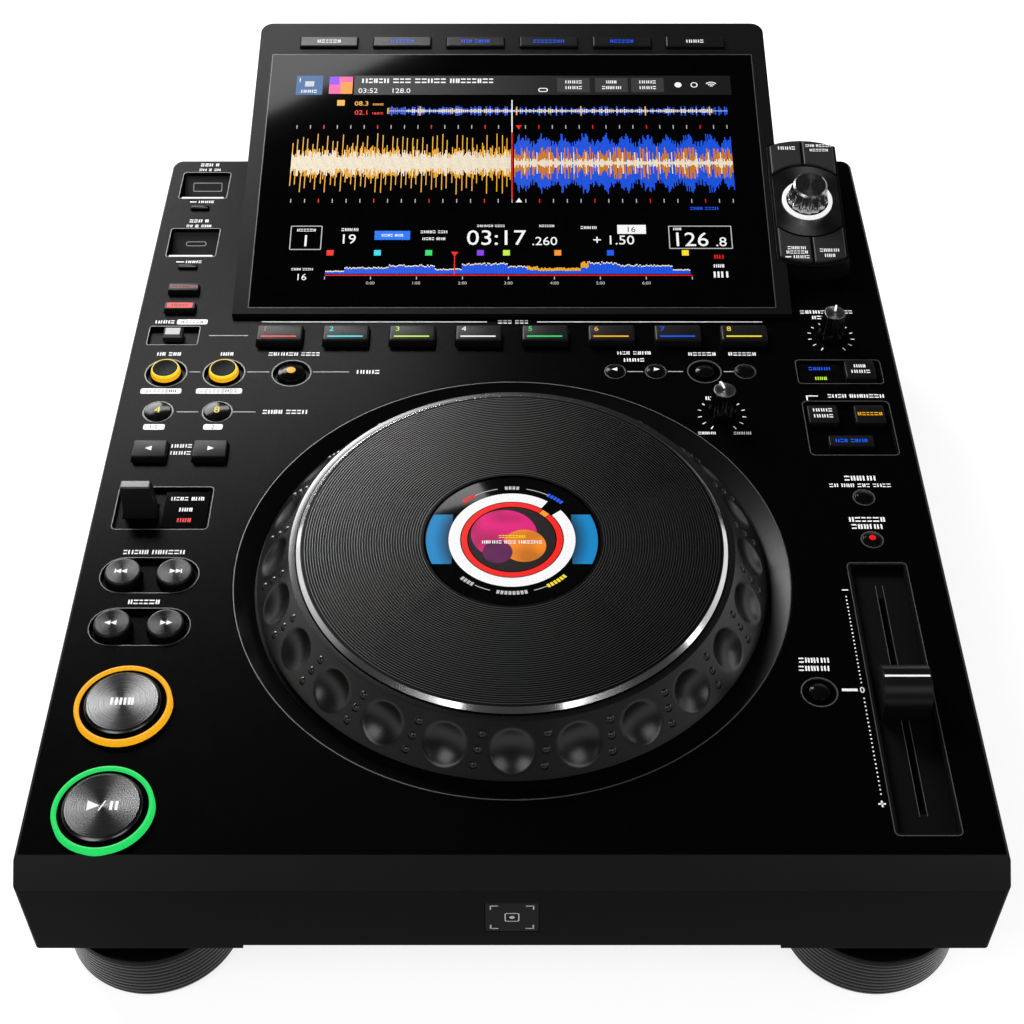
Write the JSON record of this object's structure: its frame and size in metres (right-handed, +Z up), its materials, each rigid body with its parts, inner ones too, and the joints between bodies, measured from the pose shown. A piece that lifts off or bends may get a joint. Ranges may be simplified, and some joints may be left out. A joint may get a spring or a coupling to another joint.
{
  "type": "tabletop dj player",
  "caption": "Tabletop DJ media player with a turning jog wheel, tilted display, lit cue pads, transport buttons, dials, levers and a tempo fader on a footed black body.",
  "frame": {"origin": "on the table, at the middle of the whole part", "axes": "+X to the user's right, +Y to the back, +Z up"},
  "size_m": [0.33, 0.4602, 0.1244],
  "materials": {
    "body_plastic": "finely speckled matte black",
    "tray_metal": "black powder coat",
    "display_plastic": "satin black",
    "screen_glass": "clear gloss over black",
    "screen_panel": "lit colour panel",
    "soft_key_plastic": "satin black",
    "selector_plastic": "semi-gloss black",
    "selector_key_plastic": "satin black",
    "shaft_steel": "turned steel",
    "knob_rubber": "soft matte black",
    "well_plastic": "satin dark grey",
    "jog_plastic": "satin black moulding",
    "platter_aluminium": "dark anodised with a bright cut edge",
    "jog_lens": "gloss black over a lit display",
    "ring_lens": "translucent, lit from behind",
    "trough_plastic": "satin black",
    "fader_plastic": "satin black",
    "window_plastic": "high gloss black",
    "port_steel": "plated",
    "socket_plastic": "moulded black",
    "key_plastic": "satin black",
    "key_rubber": "silicone, satin black",
    "foot_plastic": "moulded black",
    "foot_rubber": "matte black",
    "circuit_board": "green solder mask",
    "lever_metal": "dark satin",
    "transport_metal": "dark brushed face",
    "turned_aluminium": "fine turned face",
    "loop_button_plastic": "black cap with a yellow translucent rim",
    "pad_rubber_1": "translucent silicone, lit from behind",
    "pad_rubber_2": "translucent silicone, lit from behind",
    "pad_rubber_3": "translucent silicone, lit from behind",
    "pad_rubber_4": "translucent silicone, lit from behind",
    "pad_rubber_5": "translucent silicone, lit from behind",
    "pad_rubber_6": "translucent silicone, lit from behind",
    "pad_rubber_7": "translucent silicone, lit from behind",
    "pad_rubber_8": "translucent silicone, lit from behind"
  },
  "bodies": {
    "chassis": {"deck_cover": "body_plastic", "base_tray": "tray_metal", "display_housing": "display_plastic", "display_glass": "screen_glass", "display_panel": "screen_panel", "selector_housing": "selector_plastic", "jog_well": "well_plastic", "jog_spindle": "shaft_steel", "jog_display": "jog_lens", "light_rings": "ring_lens", "fader_track": "trough_plastic", "gloss_windows": "window_plastic", "usb_ports": "port_steel", "rear_sockets": "socket_plastic", "feet": "foot_plastic", "foot_pads": "foot_rubber", "control_board": "circuit_board", "main_board": "circuit_board"},
    "jog_wheel": {"jog_ring": "jog_plastic", "jog_platter": "platter_aluminium"},
    "display_keys": {"display_keys": "soft_key_plastic"},
    "selector_keys": {"selector_keys": "selector_key_plastic"},
    "encoder_shaft": {"encoder_shaft": "shaft_steel"},
    "encoder_knob": {"encoder_knob": "knob_rubber"},
    "tempo_fader_cap": {"tempo_fader_cap": "fader_plastic"},
    "power_button": {"power_button": "key_plastic"},
    "direction_lever": {"direction_lever": "lever_metal"},
    "call_delete_lever": {"call_delete_lever": "lever_metal"},
    "jog_adjust_knob": {"jog_adjust_knob": "knob_rubber"},
    "vinyl_speed_knob": {"vinyl_speed_knob": "knob_rubber"},
    "cue_button": {"cue_button": "transport_metal"},
    "play_button": {"play_button": "transport_metal"},
    "track_back_button": {"track_back_button": "turned_aluminium"},
    "track_forward_button": {"track_forward_button": "turned_aluminium"},
    "search_back_button": {"search_back_button": "turned_aluminium"},
    "search_forward_button": {"search_forward_button": "turned_aluminium"},
    "beat_jump_back_key": {"beat_jump_back_key": "key_rubber"},
    "beat_jump_forward_key": {"beat_jump_forward_key": "key_rubber"},
    "loop_in_button": {"loop_in_button": "loop_button_plastic"},
    "loop_out_button": {"loop_out_button": "loop_button_plastic"},
    "reloop_button": {"reloop_button": "key_rubber"},
    "delete_button": {"delete_button": "key_plastic"},
    "memory_button": {"memory_button": "key_plastic"},
    "jog_mode_key": {"jog_mode_key": "key_rubber"},
    "beat_sync_key": {"beat_sync_key": "key_rubber"},
    "master_key": {"master_key": "key_rubber"},
    "key_sync_key": {"key_sync_key": "key_rubber"},
    "tempo_buttons": {"tempo_buttons": "key_plastic"},
    "usb_stop_keys": {"usb_stop_keys": "key_plastic"},
    "quantize_slip_keys": {"quantize_slip_keys": "key_rubber"},
    "call_buttons": {"call_buttons": "key_plastic"},
    "beat_loop_buttons": {"beat_loop_buttons": "key_rubber"},
    "hot_cue_pad_1": {"hot_cue_pad_1": "pad_rubber_1"},
    "hot_cue_pad_2": {"hot_cue_pad_2": "pad_rubber_2"},
    "hot_cue_pad_3": {"hot_cue_pad_3": "pad_rubber_3"},
    "hot_cue_pad_4": {"hot_cue_pad_4": "pad_rubber_4"},
    "hot_cue_pad_5": {"hot_cue_pad_5": "pad_rubber_5"},
    "hot_cue_pad_6": {"hot_cue_pad_6": "pad_rubber_6"},
    "hot_cue_pad_7": {"hot_cue_pad_7": "pad_rubber_7"},
    "hot_cue_pad_8": {"hot_cue_pad_8": "pad_rubber_8"}
  },
  "joints": [
    {"name": "jog_wheel_turn", "type": "hinge", "parent": "chassis", "child": "jog_wheel", "pos_m": [0, -0.09383, 0.082], "axis": [0, 0, 1], "continuous": true},
    {"name": "encoder_press", "type": "slide", "parent": "chassis", "child": "encoder_shaft", "axis": [0, 0.2239, -0.9746], "range_m": [0, 0.0008], "stiffness_N_per_m": 300},
    {"name": "encoder_turn", "type": "hinge", "parent": "encoder_shaft", "child": "encoder_knob", "pos_m": [0.1353, 0.11684, 0.0987], "axis": [0, -0.2239, 0.9746], "continuous": true},
    {"name": "jog_adjust_turn", "type": "hinge", "parent": "chassis", "child": "jog_adjust_knob", "pos_m": [0.0873, -0.00793, 0.082], "axis": [0, 0, 1], "range_deg": [-150, 150]},
    {"name": "vinyl_speed_turn", "type": "hinge", "parent": "chassis", "child": "vinyl_speed_knob", "pos_m": [0.1389, 0.04147, 0.082], "axis": [0, 0, 1], "range_deg": [-150, 150]},
    {"name": "tempo_slide", "type": "slide", "parent": "chassis", "child": "tempo_fader_cap", "axis": [0, 1, 0], "range_m": [-0.045, 0.045]},
    {"name": "direction_tilt", "type": "hinge", "parent": "chassis", "child": "direction_lever", "pos_m": [-0.1465, -0.06203, 0.073], "axis": [1, 0, 0], "range_deg": [-10, 10]},
    {"name": "call_delete_tilt", "type": "hinge", "parent": "chassis", "child": "call_delete_lever", "pos_m": [-0.1476, 0.04227, 0.073], "axis": [0, 1, 0], "range_deg": [-8, 8], "stiffness_Nm_per_rad": 0.02},
    {"name": "power_press", "type": "slide", "parent": "chassis", "child": "power_button", "axis": [0, -1, 0], "range_m": [0, 0.002], "stiffness_N_per_m": 300},
    {"name": "display_keys_press", "type": "slide", "parent": "chassis", "child": "display_keys", "axis": [0, 0.2239, -0.9746], "range_m": [0, 0.001], "stiffness_N_per_m": 300},
    {"name": "selector_keys_press", "type": "slide", "parent": "chassis", "child": "selector_keys", "axis": [0, 0.2239, -0.9746], "range_m": [0, 0.001], "stiffness_N_per_m": 300},
    {"name": "cue_button_press", "type": "slide", "parent": "chassis", "child": "cue_button", "axis": [0, 0, -1], "range_m": [0, 0.001], "stiffness_N_per_m": 300},
    {"name": "play_button_press", "type": "slide", "parent": "chassis", "child": "play_button", "axis": [0, 0, -1], "range_m": [0, 0.001], "stiffness_N_per_m": 300},
    {"name": "track_back_button_press", "type": "slide", "parent": "chassis", "child": "track_back_button", "axis": [0, 0, -1], "range_m": [0, 0.001], "stiffness_N_per_m": 300},
    {"name": "track_forward_button_press", "type": "slide", "parent": "chassis", "child": "track_forward_button", "axis": [0, 0, -1], "range_m": [0, 0.001], "stiffness_N_per_m": 300},
    {"name": "search_back_button_press", "type": "slide", "parent": "chassis", "child": "search_back_button", "axis": [0, 0, -1], "range_m": [0, 0.001], "stiffness_N_per_m": 300},
    {"name": "search_forward_button_press", "type": "slide", "parent": "chassis", "child": "search_forward_button", "axis": [0, 0, -1], "range_m": [0, 0.001], "stiffness_N_per_m": 300},
    {"name": "beat_jump_back_key_press", "type": "slide", "parent": "chassis", "child": "beat_jump_back_key", "axis": [0, 0, -1], "range_m": [0, 0.001], "stiffness_N_per_m": 300},
    {"name": "beat_jump_forward_key_press", "type": "slide", "parent": "chassis", "child": "beat_jump_forward_key", "axis": [0, 0, -1], "range_m": [0, 0.001], "stiffness_N_per_m": 300},
    {"name": "loop_in_button_press", "type": "slide", "parent": "chassis", "child": "loop_in_button", "axis": [0, 0, -1], "range_m": [0, 0.001], "stiffness_N_per_m": 300},
    {"name": "loop_out_button_press", "type": "slide", "parent": "chassis", "child": "loop_out_button", "axis": [0, 0, -1], "range_m": [0, 0.001], "stiffness_N_per_m": 300},
    {"name": "reloop_button_press", "type": "slide", "parent": "chassis", "child": "reloop_button", "axis": [0, 0, -1], "range_m": [0, 0.001], "stiffness_N_per_m": 300},
    {"name": "delete_button_press", "type": "slide", "parent": "chassis", "child": "delete_button", "axis": [0, 0, -1], "range_m": [0, 0.001], "stiffness_N_per_m": 300},
    {"name": "memory_button_press", "type": "slide", "parent": "chassis", "child": "memory_button", "axis": [0, 0, -1], "range_m": [0, 0.001], "stiffness_N_per_m": 300},
    {"name": "jog_mode_key_press", "type": "slide", "parent": "chassis", "child": "jog_mode_key", "axis": [0, 0, -1], "range_m": [0, 0.001], "stiffness_N_per_m": 300},
    {"name": "beat_sync_key_press", "type": "slide", "parent": "chassis", "child": "beat_sync_key", "axis": [0, 0, -1], "range_m": [0, 0.001], "stiffness_N_per_m": 300},
    {"name": "master_key_press", "type": "slide", "parent": "chassis", "child": "master_key", "axis": [0, 0, -1], "range_m": [0, 0.001], "stiffness_N_per_m": 300},
    {"name": "key_sync_key_press", "type": "slide", "parent": "chassis", "child": "key_sync_key", "axis": [0, 0, -1], "range_m": [0, 0.001], "stiffness_N_per_m": 300},
    {"name": "tempo_buttons_press", "type": "slide", "parent": "chassis", "child": "tempo_buttons", "axis": [0, 0, -1], "range_m": [0, 0.001], "stiffness_N_per_m": 300},
    {"name": "usb_stop_keys_press", "type": "slide", "parent": "chassis", "child": "usb_stop_keys", "axis": [0, 0, -1], "range_m": [0, 0.001], "stiffness_N_per_m": 300},
    {"name": "quantize_slip_keys_press", "type": "slide", "parent": "chassis", "child": "quantize_slip_keys", "axis": [0, 0, -1], "range_m": [0, 0.001], "stiffness_N_per_m": 300},
    {"name": "call_buttons_press", "type": "slide", "parent": "chassis", "child": "call_buttons", "axis": [0, 0, -1], "range_m": [0, 0.001], "stiffness_N_per_m": 300},
    {"name": "beat_loop_buttons_press", "type": "slide", "parent": "chassis", "child": "beat_loop_buttons", "axis": [0, 0, -1], "range_m": [0, 0.001], "stiffness_N_per_m": 300},
    {"name": "hot_cue_pad_1_press", "type": "slide", "parent": "chassis", "child": "hot_cue_pad_1", "axis": [0, 0, -1], "range_m": [0, 0.001], "stiffness_N_per_m": 300},
    {"name": "hot_cue_pad_2_press", "type": "slide", "parent": "chassis", "child": "hot_cue_pad_2", "axis": [0, 0, -1], "range_m": [0, 0.001], "stiffness_N_per_m": 300},
    {"name": "hot_cue_pad_3_press", "type": "slide", "parent": "chassis", "child": "hot_cue_pad_3", "axis": [0, 0, -1], "range_m": [0, 0.001], "stiffness_N_per_m": 300},
    {"name": "hot_cue_pad_4_press", "type": "slide", "parent": "chassis", "child": "hot_cue_pad_4", "axis": [0, 0, -1], "range_m": [0, 0.001], "stiffness_N_per_m": 300},
    {"name": "hot_cue_pad_5_press", "type": "slide", "parent": "chassis", "child": "hot_cue_pad_5", "axis": [0, 0, -1], "range_m": [0, 0.001], "stiffness_N_per_m": 300},
    {"name": "hot_cue_pad_6_press", "type": "slide", "parent": "chassis", "child": "hot_cue_pad_6", "axis": [0, 0, -1], "range_m": [0, 0.001], "stiffness_N_per_m": 300},
    {"name": "hot_cue_pad_7_press", "type": "slide", "parent": "chassis", "child": "hot_cue_pad_7", "axis": [0, 0, -1], "range_m": [0, 0.001], "stiffness_N_per_m": 300},
    {"name": "hot_cue_pad_8_press", "type": "slide", "parent": "chassis", "child": "hot_cue_pad_8", "axis": [0, 0, -1], "range_m": [0, 0.001], "stiffness_N_per_m": 300}
  ]
}
